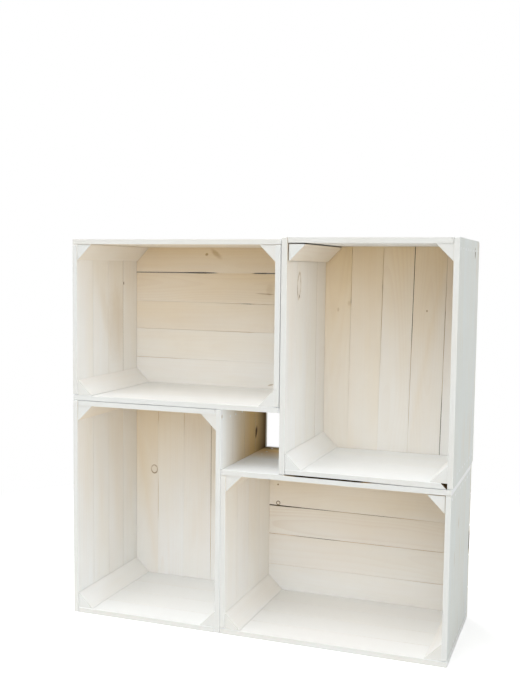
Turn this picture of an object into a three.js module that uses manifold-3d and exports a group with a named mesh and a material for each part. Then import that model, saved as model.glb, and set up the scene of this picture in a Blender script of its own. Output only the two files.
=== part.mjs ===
// Four slatted pine crates, stood on edge with their open sides to the front and stacked
// in a pinwheel: two lie along X, two stand upright, and a square hole stays in the middle.
// Millimetres, +Z up, open sides towards -Y. The origin is the middle of the underside.
// Each crate has two end frames (boards on triangular corner posts), long side boards
// nailed to the posts, and back boards nailed over the rear edges.

import * as THREE from 'three';
import { mergeVertices } from 'three/addons/utils/BufferGeometryUtils.js';
import Module from 'manifold-3d';

// ---- Driving sizes ----

// Boards, all sawn from one stock width
const boardWidth = 72;
const boardGap = 2;                 // open joint between neighbouring boards
const wallThickness = 12;
const backThickness = 10;
const boardCornerRadius = 3;        // board ends are knocked round at their corners
const boardEdgeBevel = 1;           // eased edges round both faces
const wallBoardCount = 4;           // from the open front to the rear edge
const backBoardCount = 5;           // across the crate

// Corner posts, a square stick sawn along its diagonal
const postLeg = 40;
const postTipFlat = 2.5;            // flat left on each acute edge
const postFrontInset = 2;           // front end stands back from the boards' front edges
const postRearGap = 0.6;            // rear end stops just short of the rear edges
const postRoot = 0.6;               // how far a post is bedded into its end boards

// Crate
const crateLength = 500;

// Clearances
const seatGap = 0.3;                // between pieces nailed on one another
const endBoardGap = 0.6;            // each end of an end board to the side boards
const crateGap = 0.5;               // between crates that stand against each other

// The upper right crate, as it was made and set down
const upperRightExtraLength = 4;    // cut longer, so its top stands above its neighbour's
const upperRightSlip = 3;           // stands this far off the upper left crate

// ---- Derived sizes ----

const boardPitch = boardWidth + boardGap;
const runOfBoards = (count) => count * boardPitch - boardGap;
const crateWidth = runOfBoards(backBoardCount);
const wallDepth = runOfBoards(wallBoardCount);
const sideWallInset = wallThickness + seatGap;
const endFrameWidth = crateWidth - 2 * sideWallInset;
const endBoardLength = crateWidth - 2 * (wallThickness + endBoardGap);

// ---- Solids ----

const wasm = await Module();
wasm.setup();

// A closed geometry as a solid that can be joined with others.
function toSolid(geometry) {
  const bare = geometry.clone();
  bare.deleteAttribute('normal');
  bare.deleteAttribute('uv');
  const merged = mergeVertices(bare);
  const triVerts = Uint32Array.from(merged.index.array);
  const vertProperties = merged.getAttribute('position').array;
  return new wasm.Manifold(new wasm.Mesh({ numProp: 3, vertProperties, triVerts }));
}

// A joined solid as a flat-shaded geometry.
function toGeometry(solid) {
  const mesh = solid.getMesh();
  const indexed = new THREE.BufferGeometry();
  indexed.setAttribute('position', new THREE.BufferAttribute(mesh.vertProperties, mesh.numProp));
  indexed.setIndex(new THREE.BufferAttribute(mesh.triVerts, 1));
  const geometry = indexed.toNonIndexed();
  geometry.computeVertexNormals();
  return geometry;
}

// A rectangle with round corners, centred on the origin.
function roundedRectangle(length, width, radius) {
  const x = length / 2 - radius;
  const y = width / 2 - radius;
  const quarter = Math.PI / 2;
  const shape = new THREE.Shape();
  shape.absarc(x, y, radius, 0, quarter);
  shape.absarc(-x, y, radius, quarter, 2 * quarter);
  shape.absarc(-x, -y, radius, 2 * quarter, 3 * quarter);
  shape.absarc(x, -y, radius, 3 * quarter, 4 * quarter);
  shape.closePath();
  return shape;
}

// A board centred on the origin: length along X, width along Y, thickness along Z.
function boardGeometry(length, thickness) {
  const outline = roundedRectangle(length, boardWidth, boardCornerRadius);
  const geometry = new THREE.ExtrudeGeometry(outline, {
    depth: thickness - 2 * boardEdgeBevel,
    curveSegments: 1,               // two facets to each round corner
    bevelSegments: 1,
    bevelThickness: boardEdgeBevel,
    bevelSize: boardEdgeBevel,
    bevelOffset: -boardEdgeBevel,
  });
  return geometry.translate(0, 0, boardEdgeBevel - thickness / 2);
}

// Middle of board number i, counted from zero, in a run that starts at zero.
const boardMiddle = (i) => i * boardPitch + boardWidth / 2;

// A corner post along +Y: its square edge lies on the Y axis, one leg along X, the other
// along Z. The leg that lies along Z is a little deeper, where end boards take it in.
function postGeometry() {
  const section = new THREE.Shape();
  section.moveTo(-postRoot, 0);
  section.lineTo(postLeg, 0);
  section.lineTo(postLeg, postTipFlat);
  section.lineTo(postTipFlat, postLeg);
  section.lineTo(-postRoot, postLeg);
  section.closePath();
  const length = wallDepth - postFrontInset - postRearGap;
  const geometry = new THREE.ExtrudeGeometry(section, { depth: length, bevelEnabled: false });
  // The section is drawn in XY: turned into XZ, the extrusion runs along -Y.
  return geometry.rotateX(Math.PI / 2).translate(0, length + postFrontInset, 0);
}

// One end of a crate: boards whose inner faces lie on the plane x = 0, outer faces towards
// -X, and a post in each corner on the +X side. It is alike in +Z and -Z.
function endFrameGeometry() {
  const board = boardGeometry(endBoardLength, wallThickness).rotateY(Math.PI / 2);
  const post = postGeometry();
  const lowerPost = post.clone().translate(0, 0, -endFrameWidth / 2);
  // Turned half round about X and slid back along Y, the same stick fits the other corner.
  const upperPost = lowerPost.clone().rotateX(Math.PI);
  upperPost.translate(0, wallDepth + postFrontInset - postRearGap, 0);
  let frame = toSolid(lowerPost).add(toSolid(upperPost));
  for (let i = 0; i < wallBoardCount; i += 1) {
    const placed = board.clone().translate(-wallThickness / 2, boardMiddle(i), 0);
    frame = frame.add(toSolid(placed));
  }
  return toGeometry(frame);
}

// ---- Finishes ----

// Whitewashed pine: the wash lies thick on the walls and thin on the back boards.
function whitewash(color) {
  return new THREE.MeshStandardMaterial({ color, roughness: 0.85, metalness: 0 });
}

const wallColour = 0xeae8e1;
const frameColour = 0xe6e3da;
const backColour = 0xe9decb;

// ---- Crate ----

function piece(name, geometry, colour) {
  const mesh = new THREE.Mesh(geometry, whitewash(colour));
  mesh.name = name;
  return mesh;
}

const frameShape = endFrameGeometry();

// A crate in its own frame: length along X, width along Z, open front at y = 0 towards -Y.
// ends names the -X and +X ends, sides the -Z and +Z sides, as they lie in the stack.
function crate(name, length, ends, sides) {
  const group = new THREE.Group();

  ends.forEach((end, index) => {
    const frame = piece(`${name}_${end}_end_frame`, frameShape, frameColour);
    frame.rotation.y = index * Math.PI;
    frame.position.x = (index === 0 ? -1 : 1) * (length / 2 - wallThickness);
    group.add(frame);
  });

  const sideShape = boardGeometry(length, wallThickness);
  sides.forEach((side, index) => {
    for (let i = 0; i < wallBoardCount; i += 1) {
      const board = piece(`${name}_${side}_board_${i + 1}`, sideShape, wallColour);
      const z = (index === 0 ? -1 : 1) * (crateWidth - wallThickness) / 2;
      board.position.set(0, boardMiddle(i), z);
      group.add(board);
    }
  });

  // Back boards are counted from the +Z side.
  const backShape = boardGeometry(length, backThickness);
  for (let i = 0; i < backBoardCount; i += 1) {
    const board = piece(`${name}_back_board_${i + 1}`, backShape, backColour);
    board.rotation.x = Math.PI / 2;
    board.position.set(0, wallDepth + seatGap + backThickness / 2, crateWidth / 2 - boardMiddle(i));
    group.add(board);
  }
  return group;
}

// A crate lying along X, its lower left front corner at (left, bottom).
function lyingCrate(name, left, bottom) {
  const group = crate(name, crateLength, ['left', 'right'], ['bottom', 'top']);
  group.position.set(left + crateLength / 2, 0, bottom + crateWidth / 2);
  return group;
}

// A crate stood upright: its length runs along Z and its +Z side is turned to the left.
function standingCrate(name, length, left, bottom) {
  const group = crate(name, length, ['bottom', 'top'], ['right', 'left']);
  group.rotation.y = -Math.PI / 2;
  group.position.set(left + crateWidth / 2, 0, bottom + length / 2);
  return group;
}

// ---- Stack ----

const lowerRightLeft = crateWidth + crateGap;
const upperLeftBottom = crateLength + crateGap;
const upperRightLeft = crateLength + upperRightSlip;
const upperRightBottom = crateWidth + crateGap;
const upperRightLength = crateLength + upperRightExtraLength;

const stack = new THREE.Group();
stack.add(standingCrate('lower_left', crateLength, 0, 0));
stack.add(lyingCrate('lower_right', lowerRightLeft, 0));
stack.add(lyingCrate('upper_left', 0, upperLeftBottom));
stack.add(standingCrate('upper_right', upperRightLength, upperRightLeft, upperRightBottom));

// The origin goes to the middle of the underside.
stack.updateMatrixWorld(true);
const box = new THREE.Box3().setFromObject(stack);
const middle = box.getCenter(new THREE.Vector3());
stack.position.set(-middle.x, -middle.y, -box.min.z);
stack.updateMatrixWorld(true);

export default stack;
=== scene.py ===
# Four slatted pine crates, whitewashed, stood on edge and stacked in a pinwheel.
# Metres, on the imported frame: X to the right, Y from the open front to the back, Z up.

import math
import random

import bmesh
import bpy
from mathutils import Matrix, Vector


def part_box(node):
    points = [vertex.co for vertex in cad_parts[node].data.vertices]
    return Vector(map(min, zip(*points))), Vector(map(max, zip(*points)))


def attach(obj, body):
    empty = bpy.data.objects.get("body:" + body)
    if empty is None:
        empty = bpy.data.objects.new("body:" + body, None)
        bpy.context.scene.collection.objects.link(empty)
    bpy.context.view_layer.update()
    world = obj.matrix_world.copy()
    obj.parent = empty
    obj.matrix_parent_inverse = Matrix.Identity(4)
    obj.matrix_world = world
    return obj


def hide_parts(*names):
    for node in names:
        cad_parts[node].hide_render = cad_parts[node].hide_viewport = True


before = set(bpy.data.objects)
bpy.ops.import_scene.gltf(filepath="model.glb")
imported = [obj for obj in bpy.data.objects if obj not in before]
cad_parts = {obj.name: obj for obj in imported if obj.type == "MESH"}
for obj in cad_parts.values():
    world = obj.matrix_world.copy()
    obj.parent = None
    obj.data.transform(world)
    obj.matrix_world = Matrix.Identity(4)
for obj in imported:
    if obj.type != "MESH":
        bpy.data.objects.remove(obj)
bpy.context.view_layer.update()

# ---- Sizes ----

MM = 0.001
RIGHT, DEPTH, UP = 0, 1, 2      # the axes X, Y and Z
WALL = 12 * MM                  # how thick side and end boards are
WALL_BOARDS = 4
BACK_BOARDS = 5
STOCK_JOINT = 2 * MM            # what the stock widths leave between neighbouring boards
WALL_DEPTH = 294 * MM           # from a wall's front edge to its rear edge
HALF_BOARD = 36 * MM            # half of a board's stock width
POST_LEG = 35 * MM
POST_TIP = 1.2 * MM             # flat left on each acute edge of a post
POST_INSET = 2 * MM             # front end of a post, behind the boards' front edges

# A crate's stance: the axis that its long boards run along, the axis that its sides face,
# and the names of its ends and sides, the low one first.
LYING = {"run": RIGHT, "across": UP, "ends": ("left", "right"), "sides": ("bottom", "top")}
STANDING = {"run": UP, "across": RIGHT, "ends": ("bottom", "top"), "sides": ("left", "right")}
CRATES = {
    "upper_left": LYING,
    "upper_right": STANDING,
    "lower_left": STANDING,
    "lower_right": LYING,
}

# Planed boards
PLANING = 0.4 * MM              # how far a face lies inside its stock size
WALL_JOINT = 0.5 * MM           # between the boards of a wall, where the wash bridges it
WALL_ARRIS = 0.6 * MM
BACK_ARRIS = 0.3 * MM
POST_ARRIS = 0.25 * MM
ARRIS_FACETS = 2
ARRIS_ANGLE = math.radians(40)  # edges sharper than this are eased
SMOOTH_ANGLE = math.radians(35)
OUTER_FACES = {                 # in millimetres, where a wall's outer face lies elsewhere
    "upper_right_left": -1.0,
    "upper_left_right": 0.1,
    "lower_left_right": 0.1,
    "lower_right_left": 0.1,
}
CORNER_ROUND = 3 * MM           # board ends are knocked round at their corners
CORNER_FACETS = 3
WANDER = 0.15 * MM              # how far an edge strays from straight
CUPPING = 0.3 * MM              # how far a face strays from flat
CUTS_ALONG = 24                 # cuts that let a board bend
CUTS_ACROSS = 3
POST_CUTS = 14

# Joints between a crate's back boards, from its first board to its last. Each has the way
# that its middle strays from the stock sizes, in millimetres at the low and at the high end
# of the run, and its open width at places along the run, in millimetres from the middle.
BACK_JOINTS = {
    "upper_left": (
        ((-1.2, -0.4), ((-250, 1.6), (-210, 2.0), (-110, 2.2), (-70, 3.5), (-50, 3.6),
                        (-30, 2.6), (-10, 0.6), (10, 0.25), (76, 0.4), (88, 2.4), (110, 3.0),
                        (130, 2.3), (250, 2.0))),
        ((0.0, -3.0), ((-250, 0.1), (-220, 0.3), (-60, 0.2), (-10, 0.4), (30, 0.5), (50, 1.0),
                       (68, 1.2), (80, 0.6), (115, 0.6), (130, 0.4), (250, 0.4))),
        ((4.0, 1.2), ((-250, 0.4), (-210, 0.6), (-190, 0.35), (-30, 0.35), (0, 0.55), (40, 0.6),
                      (70, 0.85), (82, 0.35), (250, 0.2))),
        ((4.2, 1.5), ((-250, 0.65), (-130, 0.65), (-90, 0.35), (10, 0.3), (40, 0.1), (250, 0.1))),
    ),
    "upper_right": (
        ((-1.5, 2.8), ((-250, 0.1), (-150, 0.15), (-110, 0.3), (60, 0.4), (95, 0.3), (108, 1.1),
                       (118, 0.8), (150, 0.7), (175, 0.5), (220, 0.7), (250, 0.8))),
        ((-2.5, 4.5), ((-250, 0.1), (-60, 0.2), (-30, 0.5), (10, 0.4), (50, 0.75), (90, 0.7),
                       (150, 1.0), (170, 0.75), (215, 0.7), (250, 0.4))),
        ((-4.5, 3.8), ((-250, 0.5), (-190, 0.35), (-160, 0.7), (-110, 0.65), (-10, 0.8),
                       (30, 1.1), (50, 1.4), (90, 1.15), (210, 1.2), (250, 1.4))),
        ((-3.0, 4.4), ((-250, 1.1), (-210, 1.25), (-130, 1.25), (-80, 0.85), (-40, 0.55),
                       (0, 0.85), (90, 1.0), (110, 0.6), (135, 0.8), (170, 0.4), (210, 0.45),
                       (250, 0.8))),
    ),
    "lower_left": (
        ((0.7, 0.7), ((-170, 0.1), (-150, 0.3), (-130, 0.1), (-100, 0.1), (-80, 0.8), (0, 0.8),
                      (30, 0.2), (145, 0.1), (165, 0.8), (250, 0.8))),
        ((-1.5, 0.2), ((-250, 0.1), (130, 0.1), (150, 0.55), (170, 0.8), (250, 0.9))),
        ((0.8, 0.8), ((-230, 0.4), (-150, 0.8), (-70, 0.75), (-30, 1.0), (20, 1.1), (150, 1.0),
                      (250, 0.4))),
        ((0.0, 0.0), ((-250, 0.4), (250, 0.5))),
    ),
    "lower_right": (
        ((0.0, 0.0), ((-250, 0.8), (250, 0.6))),
        ((2.2, -0.2), ((-240, 2.8), (-210, 2.8), (-170, 2.1), (-150, 1.5), (-90, 1.05),
                       (-50, 0.85), (50, 1.05), (90, 0.85), (130, 0.6), (160, 0.4),
                       (250, 0.2))),
        ((4.4, 3.2), ((-235, 0.9), (-190, 0.65), (-170, 0.95), (-90, 1.2), (-50, 0.85), (-10, 0.7),
                      (50, 0.9), (85, 0.6), (110, 0.5), (150, 0.7), (250, 0.4))),
        ((1.6, 0.6), ((-250, 0.5), (-60, 0.15), (20, 0.3), (90, 0.3), (130, 0.5), (170, 0.6),
                      (250, 0.5))),
    ),
}
JOINT_AT_REAR = 0.1 * MM        # what is left of a joint at the rear of the boards
SAW_REACH = 6 * MM              # how far a back board's edge may be sawn off its stock size
BRIDGED_JOINT = 0.2             # in millimetres: the wash fills a joint as narrow as this, and one as wide as this is bare and painted dark as shade
SHADED_JOINT = 1.5               # and one as wide as this is bare and dark with dirt

# How far posts stand off their corner along X and Z, in millimetres: most are pressed into
# the planed boards, and some were nailed on a little loose
POST_PRESSED = -0.3
POST_SLACK = {
    "upper_right_top_left_post": (2.6, 2.2),
    "lower_right_right_top_post": (0.9, 1.4),
}

# Marks on single boards, in millimetres from the board's middle and degrees: (along,
# across, reach along, reach across, darkness, turn). A knot's darkness is below zero
# where only its ring shows.
KNOTS_AND_SHADOWS = {
    "upper_left_back_slat_1": (-19, 11, 24, 8, 0.26, -40),
    "upper_left_back_slat_2": (124, -3, 12, 18, 0.12, 0),
    "upper_right_back_slat_1": (107, 32, 8, 5, 0.15, 0),
    # painted shadow: the next two marks are not knots but broad darker patches on the wall, a
    # shadow with a slanting edge on slat 2, and on slat 3 a patch that is partly a stain and
    # partly painted shade
    "upper_left_left_end_slat_2": (5, 28, 95, 26, 0.12, -22),
    "upper_left_left_end_slat_3": (-25, 2, 120, 60, 0.18, 0),
    "upper_right_left_slat_2": (150, -24, 30, 13, -0.45, 8),
    "lower_left_back_slat_1": (36, 26, 12, 9.5, -0.55, 0),
    "lower_left_back_slat_4": (-202, -10, 12, 3, 0.1, 0),
    "lower_left_right_slat_1": (234, -29, 6, 6, 0.5, 0),
    "lower_right_back_slat_2": (-216, -28, 5.5, 5.5, -0.8, 0),
    "lower_right_right_end_slat_2": (89, 8, 16, 8, 0.3, 10),
    "lower_right_right_end_slat_1": (24, 34, 22, 10, 0.3, 0),
}
PIN_KNOTS = {
    "upper_left_left_end_slat_4": (82, -33, 5, 2.2, 1.0, 0),
    "upper_left_back_slat_1": (-44, 9, 5, 4, 0.38, 20),
    "upper_left_back_slat_2": (112, -12, 28, 1.5, 0.4, -2),
    "upper_left_back_slat_5": (129, -17, 9, 2.2, 0.6, 14),
    "upper_right_back_slat_1": (91, 6, 6, 3, 0.22, 0),
    "upper_right_back_slat_4": (93, -3, 3, 2.2, 0.5, 0),
    "upper_right_left_slat_2": (126, -20, 5, 2.5, 0.5, -30),
    "upper_right_right_slat_4": (225, -20, 15, 7, 1.0, 0),
    "lower_left_right_slat_4": (165, -33, 17, 8, 1.0, 20),
    "lower_right_back_slat_2": (-217, 18, 2.5, 2.5, 0.7, 0),
    "lower_right_back_slat_3": (250.5, -2, 4, 26, 1.0, 0),
}
NO_MARK = (900, 900, 1, 1, 0, 0)    # too far off a board to show

# Where the year rings show through more: (along, reach along, strength)
FIGURES = {
    "upper_left_back_slat_3": (-90, 45, 1.2),
    "lower_left_back_slat_2": (-205, 35, 3.0),
    "lower_right_back_slat_3": (-210, 70, 2.0),
}
NO_FIGURE = (0, 1, 0)

# Where a board was sawn out of the tree: in metres along it, and in millimetres to the side
# of its pith and off it
SAWN_ALONG = (1, 40)
SAWN_ASIDE = (-30, 30)
SAWN_OFF_PITH = (18, 60)
OWN_COVER = (-0.02, 0.02)       # how much more of the wash than its neighbours it took
OWN_FIGURE = (0.3, 0.9)         # and how strongly its year rings show

# Corners that broke off: a place on the break, in metres, and the way that it faces; the break is
# painted dark as shade
CHIPS = {
    "upper_right_bottom_end_slat_1": ((0.4105, -0.152, 0.3805), (1.0, -0.4, 1.1)),
}

# Front edges that are hollow, so that a gap shows between two crates, and painted dark as shade
# where they are deep: the face, 1 for the upper one, how deep in millimetres, and the share of
# that at places along X
HOLLOWS = {
    "upper_right_bottom_end_slat_1": (-1, 1.5, ((60, 1), (230, 1), (340, 0))),
    "lower_right_top_slat_1": (1, 0.7, ((68, 0), (86, 1), (230, 1), (400, 0))),
}
NO_HOLLOW = (1, 0, ((0, 0),))
HOLLOW_START = 10 * MM          # in front of a board's middle
HOLLOW_SHADED = 0.9               # a hollow is painted dark as shade where it has this share of its depth

# The wash: how well it covers the wood, which is below zero where painted shade darkens it
# to near black, and how worn it is, which is below zero where it is weathered instead
# worn grey on the front edges, and painted darker still as shade, to even out the stronger light
# on them
WASH_FRONT = (0.97, 1.0)
WASH_OUTSIDE = (0.98, 0.0)
# weathered grey, with a green tint that is painted light, the cool light from the right
WASH_WEATHERED_AND_GREEN_LIT = (0.97, -0.8)
WASH_REAR = (0.88, -0.8)
WASH_WALL_JOINT = (0.80, 0.1)
# painted shade: no wash, and near-black wood in its place, in gaps, joints, breaks and hollows
NO_WASH_SHADED = (-1.0, 0.0)
WASH_BRIDGE = 0.85              # how well it covers where it fills a joint between back boards

# Walls whose outer faces are weathered and tinted green as painted light, and those that are
# painted darker towards the rear, down to near black, as shade in the slot between crates: what
# the wash loses per depth of the crate, and from where, in depths behind the middle
WEATHERED_AND_GREEN_LIT_WALLS = ("upper_right_right", "lower_right_right", "upper_right_top", "lower_left_left")
SHADE_TO_REAR = {"lower_left_right": (1.5, -0.52), "lower_right_top": (3.0, 0.0)}

# Inside a crate: how well it covers low down at the front, what it loses towards the top
# and towards the back, and how worn it is. What it loses is painted shade, partly a thinner
# wash; the floor's cover above 1 is painted light, and high posts are a shaded copy of low ones
WASH_AND_SHADE_INSIDE = {
    "wall": (0.96, 0.24, 0.09, 0.1),
    "back": (0.88, 0.60, 0.06, 0.0),
    "floor": (1.12, 0.0, 0.08, 0.0),
    "ceiling": (0.95, 0.42, 0.05, 0.0),
    "post": (0.98, 0.12, 0.08, 0.0),
    "high_post": (0.95, 0.42, 0.05, 0.0),
}

# Insides and single boards that took more or less of it. For whole insides it is painted light and
# shade, which makes the upper right ceiling lighter
COVER_CHANGE = {
    "lower_left_back": 0.10,
    "lower_right_back": 0.10,
    "lower_left_wall": 0.03,
    "upper_right_ceiling": 0.40,
    "upper_left_back_slat_1": 0.04,
    "upper_left_back_slat_2": -0.10,
    "upper_left_back_slat_3": -0.09,
    "upper_right_back_slat_1": -0.05,
    "upper_right_back_slat_2": -0.04,
    "upper_right_back_slat_5": 0.06,
    "lower_right_back_slat_1": 0.10,
    "lower_right_back_slat_3": -0.08,
    "lower_right_back_slat_4": -0.09,
    "lower_right_back_slat_5": -0.05,
}

# Joints in the walls that it doesn't bridge, painted dark as shade, each in front of the board
# that is named
SHADED_WALL_JOINTS = ("upper_left_left_end_slat_4", "upper_right_left_slat_4")

# Which way an edge runs and which face a point is on: how much of it goes that way
ALONG = 0.9
SQUARE_ON = 0.8
ON_A_BREAK = 0.85
POST_END = 0.6
TOWARDS = 0.5

# Camera, from the lines of the photograph
CAMERA_PLACE = (0.70355, -2.03484, 0.80442)
CAMERA_YAW = math.radians(19.921)
CAMERA_DOWN = math.radians(4.868)
CAMERA_ROLL = math.radians(0.655)
FOCAL_PIXELS = 945.12
IMAGE_HEIGHT = 700
SENSOR = 36

# ---- Making blocks of wood ----


def third_axis(first, second):
    """The axis that is neither of the two. The numbers of all three add up to 3."""
    return RIGHT + DEPTH + UP - first - second


def only(block):
    """Selects one object and makes it active."""
    bpy.ops.object.select_all(action="DESELECT")
    block.select_set(True)
    bpy.context.view_layer.objects.active = block


def start_block(name, low, high):
    """A block between two corners, with its place in its mesh."""
    bpy.ops.object.select_all(action="DESELECT")
    bpy.ops.mesh.primitive_cube_add(size=1, location=(low + high) / 2, scale=high - low)
    block = bpy.context.object
    block.name = name
    block.data.name = name
    bpy.ops.object.transform_apply(location=True, rotation=True, scale=True)
    return block


def pick(block, kind, wanted):
    """In edit mode, selects just the vertices, edges or faces that are wanted."""
    bpy.ops.mesh.select_mode(type=kind)
    bpy.ops.mesh.select_all(action="DESELECT")
    form = bmesh.from_edit_mesh(block.data)
    elements = {"VERT": form.verts, "EDGE": form.edges, "FACE": form.faces}[kind]
    for element in elements:
        element.select_set(wanted(element))
    form.select_flush_mode()
    bmesh.update_edit_mesh(block.data)


def runs_along(axis):
    """A test for edges that run along one axis."""
    def test(edge):
        reach = edge.verts[1].co - edge.verts[0].co
        return abs(reach[axis]) > ALONG * reach.length
    return test


def cut_up(block, axis, cuts):
    """Cuts the edges that run along an axis into equal lengths, so that they can bend."""
    pick(block, "EDGE", runs_along(axis))
    bpy.ops.mesh.subdivide(number_cuts=cuts)


def round_corners(block, thick, radius):
    """Rounds the four edges that cross a board's thickness."""
    pick(block, "EDGE", runs_along(thick))
    bpy.ops.mesh.bevel(offset=radius, segments=CORNER_FACETS, affect="EDGES")


def chip(place, normal):
    """In edit mode, breaks off what lies beyond a plane."""
    bpy.ops.mesh.select_all(action="SELECT")
    bpy.ops.mesh.bisect(plane_co=place, plane_no=normal, use_fill=True, clear_outer=True)


def cut_across(x):
    """In edit mode, divides faces that run along X, so that the wash can end there."""
    bpy.ops.mesh.select_all(action="SELECT")
    bpy.ops.mesh.bisect(plane_co=(x, 0, 0), plane_no=(1, 0, 0))


def shift(block, axis, reach, weigh):
    """Moves the block's points along one axis, each by its weight times reach."""
    weights = block.vertex_groups.new(name="shift")
    for vertex in block.data.vertices:
        weight = weigh(vertex.co)
        if weight > 0:
            weights.add([vertex.index], weight, "REPLACE")
    only(block)
    move = block.modifiers.new("shift", "DISPLACE")
    move.direction = "XYZ"[axis]
    move.mid_level = 0
    move.strength = reach
    move.vertex_group = weights.name
    bpy.ops.object.modifier_apply(modifier=move.name)
    block.vertex_groups.clear()


def round_arrises(block, width):
    """Eases every sharp edge of the block."""
    bevel = block.modifiers.new("arris", "BEVEL")
    bevel.width = width
    bevel.segments = ARRIS_FACETS
    bevel.limit_method = "ANGLE"
    bevel.angle_limit = ARRIS_ANGLE
    bpy.ops.object.modifier_apply(modifier=bevel.name)


def slow_wave(name, length):
    """A smooth uneven wave, for bending wood."""
    texture = bpy.data.textures.new(name, "CLOUDS")
    texture.noise_scale = length
    texture.noise_depth = 1
    return texture


EDGE_WAVE = slow_wave("edge_wave", 90 * MM)
FACE_WAVE = slow_wave("face_wave", 200 * MM)


def warp(block, axis, wave, reach):
    """Moves the block's points along one axis by a slow wave, up to reach each way."""
    bend = block.modifiers.new("warp", "DISPLACE")
    bend.texture = wave
    bend.texture_coords = "LOCAL"
    bend.direction = "XYZ"[axis]
    bend.mid_level = 0.5
    bend.strength = 2 * reach
    bpy.ops.object.modifier_apply(modifier=bend.name)


def between(table, place):
    """Reads a table of places and values at a place, straight between its rows."""
    if place <= table[0][0]:
        return table[0][1]
    for (left, first), (right, second) in zip(table, table[1:]):
        if place <= right:
            return first + (second - first) * (place - left) / (right - left)
    return table[-1][1]


def spread(values, place, wide, run):
    """A mark's coordinates at a point: its distances from the mark, in reaches."""
    along, across, reach_along, reach_across, darkness, turn = values
    u = place[run] / MM - along
    v = place[wide] / MM - across
    cosine = math.cos(math.radians(turn))
    sine = math.sin(math.radians(turn))
    turned_u = (u * cosine + v * sine) / reach_along
    turned_v = (v * cosine - u * sine) / reach_across
    return turned_u, turned_v, darkness


def write_on_points(mesh, name, values):
    """Keeps three numbers for each point of a mesh, where the finish can read them."""
    layer = mesh.attributes.new(name, "FLOAT_VECTOR", "POINT")
    layer.data.foreach_set("vector", values)


def mark_wood(block, run, thick, wash):
    """Writes on each point its place in the tree, along the grain and from the pith, its
    place round the board's knots and painted shadows, how strongly the rings show, and the
    wash: how well it covers, with its painted light and shade, and how worn it is."""
    wide = third_axis(run, thick)
    mesh = block.data
    low = Vector(map(min, *(v.co for v in mesh.vertices)))
    high = Vector(map(max, *(v.co for v in mesh.vertices)))
    chance = random.Random(block.name)
    along = chance.uniform(*SAWN_ALONG)
    across = chance.uniform(*SAWN_ASIDE) * MM
    through = chance.uniform(*SAWN_OFF_PITH) * MM * chance.choice((-1, 1))
    own_cover = chance.uniform(*OWN_COVER) + COVER_CHANGE.get(block.name, 0)
    own_figure = chance.uniform(*OWN_FIGURE)
    figure_at, figure_reach, figure_gain = FIGURES.get(block.name, NO_FIGURE)
    knot = KNOTS_AND_SHADOWS.get(block.name, NO_MARK)
    pin = PIN_KNOTS.get(block.name, NO_MARK)
    grain, knots_and_shadows, pins, coats = [], [], [], []
    for vertex in mesh.vertices:
        place = vertex.co - (low + high) / 2
        grain += place[run] + along, place[wide] + across, place[thick] + through
        knots_and_shadows += spread(knot, place, wide, run)
        pins += spread(pin, place, wide, run)
        cover, wear = wash(vertex)
        off = (place[run] / MM - figure_at) / figure_reach
        figure = own_figure + figure_gain * math.exp(-off * off)
        coats += cover + own_cover, wear, figure
    write_on_points(mesh, "grain", grain)
    write_on_points(mesh, "knot", knots_and_shadows)
    write_on_points(mesh, "pin_knot", pins)
    write_on_points(mesh, "coat", coats)


def shade(block):
    """Smooth round its arrises, and flat on its faces."""
    only(block)
    bpy.ops.object.shade_smooth_by_angle(angle=SMOOTH_ANGLE)
    weigh = block.modifiers.new("weigh", "WEIGHTED_NORMAL")
    weigh.keep_sharp = True
    bpy.ops.object.modifier_apply(modifier=weigh.name)


def dress(block, finish, node):
    """Gives the finished piece its finish and its shading, hangs it on the root body and hides the
    part that it stands for.
    """
    block.data.materials.clear()
    block.data.materials.append(finish)
    shade(block)
    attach(block, "root")
    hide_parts(node)


# ---- Finishes ----


class Value:
    """A shader socket that can stand in a sum: each step adds its Math node."""

    def __init__(self, finish, socket):
        self.finish = finish
        self.socket = socket

    def math(self, operation, *others):
        inputs = dict(enumerate((self, *others)))
        return self.finish.node("ShaderNodeMath", {"operation": operation}, inputs)

    def __add__(self, other):
        return self.math("ADD", other)

    def __sub__(self, other):
        return self.math("SUBTRACT", other)

    def __rsub__(self, other):
        return self * -1 + other

    def __mul__(self, other):
        return self.math("MULTIPLY", other)

    def __truediv__(self, other):
        return self.math("DIVIDE", other)

    __radd__ = __add__
    __rmul__ = __mul__


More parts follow.
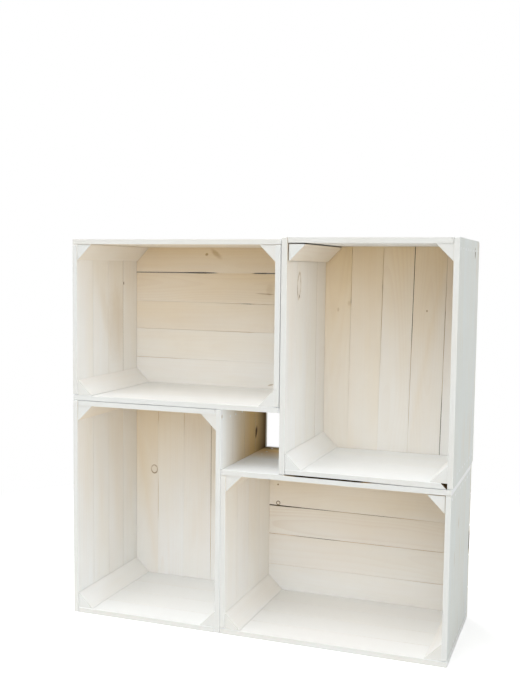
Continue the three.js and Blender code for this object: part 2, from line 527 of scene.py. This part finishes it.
class Finish:
    """A tree of shader nodes, of a material or of the world."""

    def __init__(self, owner):
        owner.use_nodes = True
        self.owner = owner
        self.tree = owner.node_tree
        self.tree.nodes.clear()

    def node(self, kind, settings=None, inputs=None, output=0):
        """Adds a node: its settings first, then the values or links of its sockets."""
        node = self.tree.nodes.new(kind)
        for key, value in (settings or {}).items():
            setattr(node, key, value)
        for key, value in (inputs or {}).items():
            if isinstance(value, Value):
                self.tree.links.new(value.socket, node.inputs[key])
            else:
                node.inputs[key].default_value = value
        return Value(self, node.outputs[output]) if node.outputs else None

    def mix(self, factor, first, second):
        """Mixes two colours."""
        first, second = (c if isinstance(c, Value) else (*c, 1) for c in (first, second))
        settings = {"data_type": "RGBA", "clamp_factor": True}
        # The colour sockets share their names with others, so they go by number.
        return self.node("ShaderNodeMix", settings, {0: factor, 6: first, 7: second}, 2)

    def noise(self, vector, scale, detail, roughness):
        """Noise of about -0.5 to 0.5, with its own scale along each axis."""
        settings = {"operation": "MULTIPLY"}
        stretched = self.node("ShaderNodeVectorMath", settings, {0: vector, 1: scale})
        inputs = {"Vector": stretched, "Scale": 1.0, "Detail": detail, "Roughness": roughness}
        return self.node("ShaderNodeTexNoise", {}, inputs) - 0.5

    def step(self, value, low, high):
        """0 below low, 1 above high, and a smooth step between."""
        inputs = {0: value, 1: low, 2: high, 3: 0.0, 4: 1.0}
        return self.node("ShaderNodeMapRange", {"interpolation_type": "SMOOTHSTEP"}, inputs)

    def parts(self, vector):
        """The three numbers of a vector."""
        separate = self.node("ShaderNodeSeparateXYZ", {}, {0: vector}).socket.node
        return [Value(self, output) for output in separate.outputs]

    def attribute(self, name):
        return self.node("ShaderNodeAttribute", {"attribute_name": name}, {}, "Vector")

    def object_place(self):
        return self.node("ShaderNodeTexCoord", {}, {}, "Object")

    def surface(self, shader):
        self.node("ShaderNodeOutputMaterial", {}, {0: shader})


BARE_PINE = (0.77, 0.56, 0.27)
RING_PINE = (0.58, 0.35, 0.15)
# the knots' brown also colours the painted shadows that are listed among them
KNOT_AND_SHADOW_BROWN = (0.10, 0.052, 0.024)
# painted shade: near-black wood that stands in for the shade in gaps, joints, breaks and the slot
# between crates
PAINTED_SHADE_PINE = (0.080, 0.047, 0.020)
WASH_WHITE = (0.925, 0.945, 0.95)
WASH_CREAM = (0.925, 0.905, 0.83)
WASH_PINK = (0.925, 0.89, 0.87)
WASH_WORN_AND_SHADED = (0.68, 0.69, 0.67)
# weathered grey, tinted green as painted light
WASH_GREYED_AND_GREEN_LIT = (0.745, 0.785, 0.755)

# Uneven patterns: their waves per metre along, across and through the board, how many finer
# waves lie on those, and how strong the finer ones are
KNOT_WOBBLE = ((55, 70, 20), 2.0, 0.5)
RING_WANDER = ((2.2, 12, 12), 1.0, 0.5)
RING_RIPPLE = ((12, 50, 50), 2.0, 0.5)
FIBRES = ((9, 520, 520), 3.0, 0.65)
BRUSH_MARKS = ((2.4, 70, 70), 3.0, 0.55)
PATCHES = ((5, 12, 12), 2.0, 0.5)
SMUDGES = ((6, 26, 26), 3.0, 0.5)
CREAMY_PLACES = ((2.1, 8.3, 8.3), 1.0, 0.5)
PINKISH_PLACES = ((1.7, 6.1, 7.7), 1.0, 0.5)

# Knots, with distances from a knot's middle in reaches: where its dark oval or its ring
# begins and ends, how uneven they are, how dark the inside of a ring is, and how far round
# it the grain swirls
KNOT_EDGE = (0.3, 1.1)
KNOT_UNEVEN = 0.5
RIM_INSIDE = (0.62, 0.86)
RIM_OUTSIDE = (0.9, 1.15)
RIM_UNEVEN = 2.4
RINGED_HEART = 0.1
PIN_EDGE = (0.5, 1.15)
PIN_UNEVEN = 0.4
SWIRL_REACH = 2.5

# Year rings: how far apart they are, how far they wander, ripple and swirl, and where in a
# ring the late wood begins and ends, in shares of it
RING_PITCH = 5.0 * MM
RINGS_WANDER = 34 * MM
RINGS_RIPPLE = 1.5 * MM
RINGS_SWIRL = 7 * MM
LATE_WOOD_BEGINS = (0.30, 0.92)
LATE_WOOD_ENDS = (0.93, 1.0)

# What each pattern adds to the thickness of the wash, to how far the wood's colour goes from
# early to late wood, to the height of the surface and to its roughness
IN_THICKNESS = {"brush": 0.08, "patch": 0.22, "fibre": 0.06, "late_wood": -0.025, "knots_and_shadows": -0.8}
IN_WOOD = {"late_wood": 0.16, "fibre": 0.3}
IN_HEIGHT = {"fibre": 0.6, "brush": 0.6, "late_wood": 0.1, "knots_and_shadows": -0.6}
IN_ROUGHNESS = {"fibre": 0.12, "brush": 0.15}
WOOD_START = 0.1
ROUGHNESS = 0.78
BUMP_STRENGTH = 0.25
BUMP_DEPTH = 0.5 * MM
SHINE = 0.12

# Where patterns begin to show and show in full, and how much
SMUDGE_EDGE = (0.08, 0.30)
SMUDGE_LOSS = 0.24              # of the wash, where it is weathered
CREAM_EDGE = (-0.10, 0.25)
PINK_EDGE = (0.0, 0.25)
PINK_SHARE = 0.8
NEVER_THIN = 1.2                # the wash is pure white where it covers as well as this
SHADE_EDGE = (0, 0.6)            # how far below zero the cover is where the painted shade shows


def add_up(patterns, shares):
    """A sum of patterns, each times its share."""
    first, *others = (patterns[name] * share for name, share in shares.items())
    return sum(others, first)


def knot_and_shadow_marks(pine, place):
    """How dark knots and the painted shadows among them make the wood, as ovals, rings and pin
    knots, and how much they swirl the grain round them."""
    wobble = pine.noise(place, *KNOT_WOBBLE)
    u, v, darkness = pine.parts(pine.attribute("knot"))
    far = (u * u + v * v).math("SQRT") + wobble * KNOT_UNEVEN
    ringed = (darkness * -1).math("MAXIMUM", 0)
    heart = darkness.math("MAXIMUM", 0) + ringed * RINGED_HEART
    heart = heart * (1 - pine.step(far, *KNOT_EDGE))
    rim = pine.step(far, *RIM_INSIDE) * (1 - pine.step(far, *RIM_OUTSIDE))
    rim = rim * ringed * (wobble * RIM_UNEVEN + 1)
    swirl = (far * far * (-1 / SWIRL_REACH ** 2)).math("EXPONENT") * darkness.math("ABSOLUTE")

    u, v, darkness = pine.parts(pine.attribute("pin_knot"))
    far = (u * u + v * v).math("SQRT") + wobble * PIN_UNEVEN
    pin = (1 - pine.step(far, *PIN_EDGE)) * darkness
    return heart + rim + pin, swirl


def year_rings(pine, place, swirl):
    """Where late wood shows. The rings are cut lengthwise and wander along the board."""
    _, across, through = pine.parts(place)
    radius = (across * across + through * through).math("SQRT")
    radius = radius + pine.noise(place, *RING_WANDER) * RINGS_WANDER
    radius = radius + pine.noise(place, *RING_RIPPLE) * RINGS_RIPPLE
    radius = radius + swirl * RINGS_SWIRL
    ring = (radius / RING_PITCH).math("FRACT")
    return pine.step(ring, *LATE_WOOD_BEGINS) * (1 - pine.step(ring, *LATE_WOOD_ENDS))


def wash_colour(pine, place, cover, wear):
    """White, creamy or pinkish in places where it is thin, greyer where worn or weathered. Where
    it is weathered it takes a green tint of painted light, and the worn front edges are partly
    painted shade.
    """
    thin = NEVER_THIN - cover
    creamy = pine.step(pine.noise(place, *CREAMY_PLACES), *CREAM_EDGE) * thin
    pinkish = pine.step(pine.noise(place, *PINKISH_PLACES), *PINK_EDGE) * thin * PINK_SHARE
    white = pine.mix(creamy, WASH_WHITE, WASH_CREAM)
    white = pine.mix(pinkish, white, WASH_PINK)
    white = pine.mix(wear, white, WASH_WORN_AND_SHADED)
    return pine.mix(wear * -1, white, WASH_GREYED_AND_GREEN_LIT)


def wash_thickness(pine, place, cover, wear, patterns):
    """How well the wash hides the wood. It is smudged away where it is weathered."""
    smudge = pine.step(pine.noise(place, *SMUDGES), *SMUDGE_EDGE) * SMUDGE_LOSS
    thickness = cover + add_up(patterns, IN_THICKNESS)
    return thickness - smudge * (wear * -1).math("MAXIMUM", 0)


def whitewashed_pine():
    """Planed pine under a thin white wash."""
    pine = Finish(bpy.data.materials.new("whitewashed_pine"))
    place = pine.attribute("grain")
    cover, wear, figure = pine.parts(pine.attribute("coat"))
    knots_and_shadows, swirl = knot_and_shadow_marks(pine, place)
    # Fibres and brush marks run along the board, patches do not.
    patterns = {
        "knots_and_shadows": knots_and_shadows,
        "late_wood": year_rings(pine, place, swirl) * figure,
        "fibre": pine.noise(place, *FIBRES),
        "brush": pine.noise(place, *BRUSH_MARKS),
        "patch": pine.noise(place, *PATCHES),
    }

    wood = pine.mix(add_up(patterns, IN_WOOD) + WOOD_START, BARE_PINE, RING_PINE)
    wood = pine.mix(knots_and_shadows, wood, KNOT_AND_SHADOW_BROWN)
    white = wash_colour(pine, place, cover, wear)
    thickness = wash_thickness(pine, place, cover, wear, patterns)
    height = add_up(patterns, IN_HEIGHT)
    relief = {"Strength": BUMP_STRENGTH, "Distance": BUMP_DEPTH, "Height": height}
    inputs = {
        "Base Color": pine.mix(thickness, wood, white),
        "Roughness": add_up(patterns, IN_ROUGHNESS) + ROUGHNESS,
        "Normal": pine.node("ShaderNodeBump", {}, relief),
        "Specular IOR Level": SHINE,
    }
    timber = pine.node("ShaderNodeBsdfPrincipled", {}, inputs)
    # Painted shade: where the cover is below zero, a dark matt colour takes the place of the wood
    painted_shade = pine.node("ShaderNodeBsdfDiffuse", {}, {"Color": (*PAINTED_SHADE_PINE, 1)})
    shaded = pine.step(cover * -1, *SHADE_EDGE)
    pine.surface(pine.node("ShaderNodeMixShader", {}, {0: shaded, 1: timber, 2: painted_shade}))
    return pine.owner


WHITEWASHED_PINE = whitewashed_pine()

# ---- Boards ----


def board(name, low, high, run, thick, node, wash, saw=None, arris=WALL_ARRIS):
    """A board between two corners. saw is what is done to the block before its arrises."""
    wide = third_axis(run, thick)
    block = start_block(name, low, high)
    bpy.ops.object.mode_set(mode="EDIT")
    round_corners(block, thick, CORNER_ROUND)
    cut_up(block, run, CUTS_ALONG)
    cut_up(block, wide, CUTS_ACROSS)
    if name in CHIPS:
        chip(*CHIPS[name])
    if name in HOLLOWS:
        outline = HOLLOWS[name][2]
        cut_across(outline[0][0] * MM)
    bpy.ops.object.mode_set(mode="OBJECT")
    if saw:
        saw(block)
    if name in HOLLOWS:
        hollow(block, (low + high) / 2, *HOLLOWS[name])
    round_arrises(block, arris)
    warp(block, wide, EDGE_WAVE, WANDER)
    warp(block, thick, FACE_WAVE, CUPPING)
    mark_wood(block, run, thick, wash)
    dress(block, WHITEWASHED_PINE, node)
    return block


def hollow(block, middle, face, depth, outline):
    """Hollows a front edge of a board that lies along X, deepest at the front."""
    def weigh(place):
        forward = middle.y - place.y
        if (place.z - middle.z) * face < 0 or forward < HOLLOW_START:
            return 0
        return between(outline, place.x / MM) * forward / HALF_BOARD
    shift(block, UP, -face * depth * MM, weigh)


def inner_wash_and_shade(crate, kind):
    """The wash on the inner faces of a crate's floor, walls, ceiling or back, with painted shade
    towards the top and the back.
    """
    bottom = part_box(f"{crate}_{CRATES[crate]['sides'][0]}_board_1")[0]
    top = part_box(f"{crate}_{CRATES[crate]['sides'][1]}_board_{WALL_BOARDS}")[1]
    cover, thin_wash_and_shade_at_top, thin_wash_and_shade_at_back, wear = WASH_AND_SHADE_INSIDE[kind]
    cover += COVER_CHANGE.get(f"{crate}_{kind}", 0)

    def wash(vertex):
        height = (vertex.co.z - bottom.z) / (top.z - bottom.z)
        depth = (vertex.co.y - bottom.y) / (top.y - bottom.y)
        # painted shade: less cover higher up and further back, so darker and warmer there
        return cover - thin_wash_and_shade_at_top * height * height - thin_wash_and_shade_at_back * depth, wear
    return wash


def wall_of(name):
    """The wall that a board belongs to."""
    return name.split("_slat_")[0].removesuffix("_end")


def wall_wash(name, thick, index, inward, inside):
    """The wash on a wall board: worn and partly painted shade on the front edge, thin in the
    joints, and painted shade on breaks, hollows and towards the rear of the slot between crates.
    """
    wall = wall_of(name)
    outside = WASH_WEATHERED_AND_GREEN_LIT if wall in WEATHERED_AND_GREEN_LIT_WALLS else WASH_OUTSIDE
    between_boards = NO_WASH_SHADED if name in SHADED_WALL_JOINTS else WASH_WALL_JOINT
    rear_shade, start = SHADE_TO_REAR.get(wall, (0, 0))
    chipped = CHIPS.get(name)
    face, _, outline = HOLLOWS.get(name, NO_HOLLOW)

    def wash(vertex):
        way = vertex.normal
        inwards = way[thick] * inward
        # painted shade: the face of a break is painted near black
        if chipped and way.dot(Vector(chipped[1]).normalized()) > ON_A_BREAK:
            return NO_WASH_SHADED
        # painted shade in the gap between two crates
        if way.z * face > SQUARE_ON and between(outline, vertex.co.x / MM) > HOLLOW_SHADED:
            return NO_WASH_SHADED
        if abs(way[DEPTH]) > SQUARE_ON:
            return WASH_FRONT if index == 1 and way[DEPTH] < 0 else between_boards
        if inwards > TOWARDS:
            return inside(vertex)
        if inwards > -TOWARDS:
            return outside
        # painted shade: darker towards the rear of the slot between crates
        return outside[0] - rear_shade * max(0, vertex.co.y / WALL_DEPTH - start), outside[1]
    return wash


def wall_board(name, low, high, run, index, node, inward, inside):
    """Board number index of a side or an end wall, between the corners of its stock size.
    inward is the way to the crate's middle, inside the wash and painted shade on its inner face."""
    thick = third_axis(run, DEPTH)
    low, high = low.copy(), high.copy()
    outer = OUTER_FACES.get(wall_of(name), PLANING / MM) * MM
    low[thick] += outer if inward > 0 else PLANING
    high[thick] -= PLANING if inward > 0 else outer
    swell = (STOCK_JOINT - WALL_JOINT) / 2 - WANDER
    low[DEPTH] += WANDER if index == 1 else -swell
    high[DEPTH] += swell if index < WALL_BOARDS else -WANDER
    wash = wall_wash(name, thick, index, inward, inside)
    return board(name, low, high, run, thick, node, wash)


def saw_joint(block, low, high, wide, run, edge, joint):
    """Saws one edge of a back board, the low one where edge is -1 and the high one where
    it is 1, to the line of its joint. The block's edge lies SAW_REACH inside."""
    middle = (low + high) / 2
    half = (high[wide] - low[wide]) / 2 - CORNER_ROUND - WANDER
    drift, widths = joint

    def weigh(point):
        place = point - middle
        if place[wide] * edge < half:
            return 0
        along = place[run] / (high[run] - low[run]) + 0.5
        stray = (drift[0] + (drift[1] - drift[0]) * along) * MM
        width = between(widths, place[run] / MM) * MM if place.y < 0 else JOINT_AT_REAR
        outwards = (STOCK_JOINT - width) / 2 + edge * stray
        return (SAW_REACH + outwards) / (2 * SAW_REACH)
    shift(block, wide, edge * 2 * SAW_REACH, weigh)


def joint_wash(width):
    """The wash in a joint: it bridges a narrow one and leaves a wide one bare, painted dark as
    shade.
    """
    bare = min(1, max(0, (width - BRIDGED_JOINT) / (SHADED_JOINT - BRIDGED_JOINT)))
    return WASH_BRIDGE + (NO_WASH_SHADED[0] - WASH_BRIDGE) * bare, 0


def back_wash(middle, wide, run, joints, inside):
    """The wash on a back board: little or none between the boards, where wide joints are painted
    dark as shade.
    """
    def wash(vertex):
        way = vertex.normal
        if abs(way[wide]) > SQUARE_ON:
            joint = joints[way[wide] > 0]
            place = (vertex.co[run] - middle[run]) / MM
            return joint_wash(between(joint[1], place)) if joint else WASH_REAR
        return inside(vertex) if way[DEPTH] < -TOWARDS else WASH_REAR
    return wash


def back_board(name, low, high, run, joints, node, inside):
    """A back board between the corners of its stock size, with the joints at its low and
    its high edge. The outermost boards have no joint at their outer edge."""
    wide = third_axis(run, DEPTH)
    low, high = low.copy(), high.copy()
    low[DEPTH] += PLANING
    high[DEPTH] -= PLANING
    low[wide] += SAW_REACH if joints[0] else WANDER
    high[wide] -= SAW_REACH if joints[1] else WANDER

    def saw(block):
        for edge, joint in zip((-1, 1), joints):
            if joint:
                saw_joint(block, low, high, wide, run, edge, joint)

    wash = back_wash((low + high) / 2, wide, run, joints, inside)
    return board(name, low, high, run, DEPTH, node, wash, saw, BACK_ARRIS)


def corner_post(name, corner, ways, length, node, wash):
    """A post whose square edge runs back from corner, its legs along the two ways in X
    and Z. It is a square stick sawn along its diagonal, with the sharp edges blunted."""
    reach = Vector((ways[0] * POST_LEG, length, ways[1] * POST_LEG))
    low = Vector(map(min, corner, corner + reach))
    high = Vector(map(max, corner, corner + reach))
    block = start_block(name, low, high)
    bpy.ops.object.mode_set(mode="EDIT")
    tip = corner + Vector((ways[0] * POST_LEG, 0, ways[1] * POST_TIP))
    chip(tip, (ways[0], 0, ways[1]))
    cut_up(block, DEPTH, POST_CUTS)
    bpy.ops.object.mode_set(mode="OBJECT")
    round_arrises(block, POST_ARRIS)
    for axis in (RIGHT, UP):
        warp(block, axis, FACE_WAVE, WANDER)
    mark_wood(block, DEPTH, RIGHT, lambda v: WASH_FRONT if v.normal.y < -POST_END else wash(v))
    dress(block, WHITEWASHED_PINE, node)
    return block


def facing(thick, inward):
    """What a wall is to one who looks into the crate."""
    if thick == UP:
        return "floor" if inward > 0 else "ceiling"
    return "wall"


def side_walls(crate, stance):
    """The two long walls of a crate."""
    for side, inward in zip(stance["sides"], (1, -1)):
        inside = inner_wash_and_shade(crate, facing(stance["across"], inward))
        for i in range(1, WALL_BOARDS + 1):
            node = f"{crate}_{side}_board_{i}"
            low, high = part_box(node)
            name = f"{crate}_{side}_slat_{i}"
            wall_board(name, low, high, stance["run"], i, node, inward, inside)


def end_walls(crate, stance):
    """The two short walls of a crate, which carry the posts."""
    for end, inward in zip(stance["ends"], (1, -1)):
        end_boards(crate, stance, end, inward)
        end_posts(crate, stance, end, inward)


def end_boards(crate, stance, end, inward):
    """The boards of one end wall."""
    run = stance["run"]
    node = f"{crate}_{end}_end_frame"
    low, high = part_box(node)
    outer = low[run] if inward > 0 else high[run]
    inside = inner_wash_and_shade(crate, facing(run, inward))
    for i in range(1, WALL_BOARDS + 1):
        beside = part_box(f"{crate}_{stance['sides'][0]}_board_{i}")
        low[run], high[run] = sorted((outer, outer + inward * WALL))
        low[DEPTH], high[DEPTH] = beside[0][DEPTH], beside[1][DEPTH]
        name = f"{crate}_{end}_end_slat_{i}"
        wall_board(name, low, high, stance["across"], i, node, inward, inside)


def end_posts(crate, stance, end, inward):
    """The two posts of one end wall."""
    run, across = stance["run"], stance["across"]
    node = f"{crate}_{end}_end_frame"
    low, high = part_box(node)
    for side, way in zip(stance["sides"], (1, -1)):
        name = f"{crate}_{end}_{side}_post"
        slack = POST_SLACK.get(name, (POST_PRESSED, POST_PRESSED))
        ways = Vector((1, 1, 1))
        ways[run] = inward
        ways[across] = way
        corner = Vector((0, low[DEPTH] + POST_INSET, 0))
        corner[run] = (low[run] if inward > 0 else high[run]) + inward * WALL
        corner[across] = low[across] if way > 0 else high[across]
        corner.x += ways.x * slack[0] * MM
        corner.z += ways.z * slack[1] * MM
        length = high[DEPTH] - corner.y
        # posts high in a crate take the ceiling's painted shade
        wash = inner_wash_and_shade(crate, "high_post" if ways.z < 0 else "post")
        corner_post(name, corner, (ways.x, ways.z), length, node, wash)


def back_wall(crate, stance):
    """The boards over the rear edges of a crate."""
    joints = BACK_JOINTS[crate]
    inside = inner_wash_and_shade(crate, "back")
    # Board 1 is at the top of a lying crate and at the left of a standing one.
    for i in range(1, BACK_BOARDS + 1):
        before = joints[i - 2] if i > 1 else None
        after = joints[i - 1] if i < BACK_BOARDS else None
        pair = (after, before) if stance is LYING else (before, after)
        node = f"{crate}_back_board_{i}"
        low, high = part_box(node)
        name = f"{crate}_back_slat_{i}"
        back_board(name, low, high, stance["run"], pair, node, inside)


for crate, stance in CRATES.items():
    side_walls(crate, stance)
    end_walls(crate, stance)
    back_wall(crate, stance)

# ---- Nails ----

NAIL_HEAD = 2.7 * MM            # radius
NAIL_SUNK = 1.4 * MM            # how deep a head reaches into the board
NAIL_BELOW = 0.03 * MM          # its top lies this far below the board's stock size
NAIL_IN = 22 * MM               # from the crate's outer corner to the row of nails
NAIL_ASIDE = 20 * MM            # from the board's middle
NAIL_FACETS = 12
NAIL_RIM = 0.35 * MM            # the rounding of a head's rim
HEAD_STEEL = (0.34, 0.35, 0.35)
RUBBING = ((160, 160, 160), 3.0, 0.5)
RUBBED_EDGE = (0.02, 0.22)
RUBBED_SHARE = 0.5              # how far a head is rubbed bare
HEAD_ROUGHNESS = 0.6
RUBBED_ROUGHNESS = 0.3
HEAD_SHINE = 0.3


def washed_steel():
    """Nail heads: steel under the whitewash, rubbed bare in places."""
    steel = Finish(bpy.data.materials.new("washed_steel"))
    rubbed = steel.noise(steel.object_place(), *RUBBING)
    bare = steel.step(rubbed, *RUBBED_EDGE) * RUBBED_SHARE
    inputs = {
        "Base Color": steel.mix(bare, WASH_WHITE, HEAD_STEEL),
        "Roughness": rubbed * RUBBED_ROUGHNESS + HEAD_ROUGHNESS,
        "Specular IOR Level": HEAD_SHINE,
    }
    steel.surface(steel.node("ShaderNodeBsdfPrincipled", {}, inputs))
    return steel.owner


WASHED_STEEL = washed_steel()


def first_nail():
    """A flat nail head with a rounded rim, its top at the origin and facing up."""
    place = (0, 0, -NAIL_SUNK / 2)
    bpy.ops.object.select_all(action="DESELECT")
    bpy.ops.mesh.primitive_cylinder_add(
        vertices=NAIL_FACETS,
        radius=NAIL_HEAD,
        depth=NAIL_SUNK,
        end_fill_type="NGON",
        location=place,
    )
    nail = bpy.context.object
    bpy.ops.object.transform_apply(location=True, rotation=False, scale=False)
    bpy.ops.object.mode_set(mode="EDIT")
    pick(nail, "FACE", lambda face: face.normal.z > SQUARE_ON)
    bpy.ops.mesh.bevel(offset=NAIL_RIM, segments=ARRIS_FACETS, affect="EDGES")
    bpy.ops.object.mode_set(mode="OBJECT")
    return nail


def copy_nail(nail, place, way):
    """A nail of its own, its top at a place and facing a way."""
    copy = nail.copy()
    copy.data = nail.data.copy()
    copy.location = place
    copy.rotation_euler = way.to_track_quat("Z", "Y").to_euler()
    bpy.context.collection.objects.link(copy)
    return copy


def driven_in(face, level, way, other, at, depth):
    """A nail driven into a face across one axis: the place of its top, and the way that it
    faces. The face lies at a level and faces a way. The nail is at a place along the other
    axis and at a depth from front to back."""
    place = Vector((0, depth, 0))
    place[face] = level - way * NAIL_BELOW
    place[other] = at
    faces = Vector((0, 0, 0))
    faces[face] = way
    return place, faces


def wall_nails(crate, stance, end, inward):
    """The nails that hold the wall boards to the two posts of one end."""
    run, across = stance["run"], stance["across"]
    low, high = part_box(f"{crate}_{end}_end_frame")
    outer = low[run] if inward > 0 else high[run]
    nails = []
    for side, way in zip(stance["sides"], (1, -1)):
        for i in range(1, WALL_BOARDS + 1):
            low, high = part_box(f"{crate}_{side}_board_{i}")
            edge = low[across] if way > 0 else high[across]
            for aside in (-NAIL_ASIDE, NAIL_ASIDE):
                depth = (low[DEPTH] + high[DEPTH]) / 2 + aside
                into_end = run, outer, -inward, across, edge + way * NAIL_IN, depth
                into_side = across, edge, -way, run, outer + inward * NAIL_IN, depth
                nails += driven_in(*into_end), driven_in(*into_side)
    return nails


def back_nails(crate, stance, inward):
    """The nails that hold the back boards to one end."""
    run, across = stance["run"], stance["across"]
    nails = []
    for i in range(1, BACK_BOARDS + 1):
        low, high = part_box(f"{crate}_back_board_{i}")
        outer = low[run] if inward > 0 else high[run]
        for aside in (-NAIL_ASIDE, NAIL_ASIDE):
            place = Vector((0, high[DEPTH] - NAIL_BELOW, 0))
            place[run] = outer + inward * NAIL_IN
            place[across] = (low[across] + high[across]) / 2 + aside
            nails.append((place, Vector((0, 1, 0))))
    return nails


def end_nails(nail, crate, stance, end, inward):
    """All nails that hold boards to one end, as one object."""
    places = wall_nails(crate, stance, end, inward) + back_nails(crate, stance, inward)
    copies = [copy_nail(nail, place, way) for place, way in places]
    bpy.ops.object.select_all(action="DESELECT")
    for copy in copies:
        copy.select_set(True)
    nails = copies[0]
    bpy.context.view_layer.objects.active = nails
    bpy.ops.object.join()
    bpy.ops.object.transform_apply(location=True, rotation=True, scale=True)
    nails.name = f"{crate}_{end}_nails"
    nails.data.name = nails.name
    dress(nails, WASHED_STEEL, f"{crate}_{end}_end_frame")


def nail_up():
    """Nails every board to its posts, with one object of nails for each end of a crate."""
    nail = first_nail()
    for crate, stance in CRATES.items():
        for end, inward in zip(stance["ends"], (1, -1)):
            end_nails(nail, crate, stance, end, inward)
    bpy.data.objects.remove(nail)


nail_up()

# ---- Floor, light and camera ----

LAMP_PLACE = (-2.6, 2.8, 3.2)
LAMP_AIM = (0, 0, 0.45)
LAMP_SIZE = 2.5
LAMP_WATTS = 90

# The room's light: the same all round, and more of it from the front. Each row has a height
# of the way to the light, and how much more there is from there up, at the left and at the
# right.
ROOM_LIGHT = 0.16
FRONT_LIGHT = (
    (-1.0, 0.0, 2.15),
    (0.3, 1.9, 0.5),
    (0.65, 3.0, 1.4),
    (0.88, 1.1, 1.1),
)
SIDES_MEET = (-0.2, 0.2)        # where the left side's light runs into the right side's,
HEIGHTS_MEET = 0.1              # how far each height's runs into the next,
FRONT_ENDS = (-0.3, 0.1)        # and where the front's runs into the rear's
PLAIN_WHITE = (1, 1, 1, 1)
KINDS_OF_SEEING = ("Camera", "Glossy", "Transmission")

FLOOR_SIZE = 14
FLOOR_BELOW = 0.2 * MM          # the floor lies this far under the crates
FLOOR_WHITE = (0.90, 0.90, 0.90, 1)
FLOOR_KEPT = 0.75               # beyond this distance it runs out into plain white,
FLOOR_GLOW = 0.4                # and nearer it is this much lighter to the eye


def seen(finish):
    """1 for what the eye sees, straight, in a reflection or through something clear."""
    path = finish.node("ShaderNodeLightPath").socket.node
    rays = [Value(finish, path.outputs[f"Is {kind} Ray"]) for kind in KINDS_OF_SEEING]
    return rays[0].math("MAXIMUM", rays[1]).math("MAXIMUM", rays[2])


def white_light(finish, kind, strength):
    """A shader of one kind that gives plain white light."""
    return finish.node(kind, {}, {"Color": PLAIN_WHITE, "Strength": strength})


def floor_white():
    """Matt white, which keeps the shadow and runs out into the white room."""
    floor = Finish(bpy.data.materials.new("studio_floor_white"))
    x, y, _ = floor.parts(floor.object_place())
    away = floor.step((x * x + y * y).math("SQRT"), FLOOR_KEPT, 2 * FLOOR_KEPT)
    ray = seen(floor)
    matt = floor.node("ShaderNodeBsdfDiffuse", {}, {"Color": FLOOR_WHITE})
    glow = white_light(floor, "ShaderNodeEmission", ray * FLOOR_GLOW)
    near = floor.node("ShaderNodeAddShader", {}, {0: matt, 1: glow})
    white = white_light(floor, "ShaderNodeEmission", 1.0)
    floor.surface(floor.node("ShaderNodeMixShader", {}, {0: away * ray, 1: near, 2: white}))
    return floor.owner


def studio_floor():
    """The floor that the crates stand on."""
    bpy.ops.object.select_all(action="DESELECT")
    bpy.ops.mesh.primitive_plane_add(size=FLOOR_SIZE, location=(0, 0, -FLOOR_BELOW))
    plane = bpy.context.object
    plane.name = "studio_floor"
    plane.data.materials.append(floor_white())


def rear_lamp():
    """A big soft lamp high behind the crates, at the left."""
    lamp = bpy.data.lights.new("rear_left", "AREA")
    lamp.shape = "SQUARE"
    lamp.size = LAMP_SIZE
    lamp.energy = LAMP_WATTS
    holder = bpy.data.objects.new("rear_left", lamp)
    bpy.context.collection.objects.link(holder)
    holder.location = LAMP_PLACE
    way = Vector(LAMP_AIM) - Vector(LAMP_PLACE)
    holder.rotation_euler = way.to_track_quat("-Z", "Y").to_euler()


def white_room():
    """The world: white to the camera, and a soft plain light to everything else."""
    world = bpy.data.worlds.new("white_room")
    bpy.context.scene.world = world
    room = Finish(world)
    way = room.parts(room.node("ShaderNodeTexCoord"))
    right = room.step(way[RIGHT], *SIDES_MEET)
    strength = 0
    for height, at_left, at_right in FRONT_LIGHT:
        above = room.step(way[UP], height - HEIGHTS_MEET, height + HEIGHTS_MEET)
        light = right * (at_right - at_left) + at_left
        strength = strength + (light - strength) * above
    strength = strength * (1 - room.step(way[DEPTH], *FRONT_ENDS)) + ROOM_LIGHT
    lit = white_light(room, "ShaderNodeBackground", strength)
    white = white_light(room, "ShaderNodeBackground", 1.0)
    either = room.node("ShaderNodeMixShader", {}, {0: seen(room), 1: lit, 2: white})
    room.node("ShaderNodeOutputWorld", {}, {0: either})


def camera():
    """A camera of the photograph's view."""
    data = bpy.data.cameras.new("camera")
    data.sensor_width = SENSOR
    data.lens = FOCAL_PIXELS / IMAGE_HEIGHT * SENSOR
    eye = bpy.data.objects.new("camera", data)
    bpy.context.collection.objects.link(eye)
    turn = Matrix.Rotation(CAMERA_YAW, 4, "Z")
    turn = turn @ Matrix.Rotation(math.pi / 2 - CAMERA_DOWN, 4, "X")
    turn = turn @ Matrix.Rotation(CAMERA_ROLL, 4, "Z")
    eye.matrix_world = Matrix.Translation(CAMERA_PLACE) @ turn
    bpy.context.scene.camera = eye


studio_floor()
rear_lamp()
white_room()
camera()
bpy.context.scene.view_settings.view_transform = "Standard"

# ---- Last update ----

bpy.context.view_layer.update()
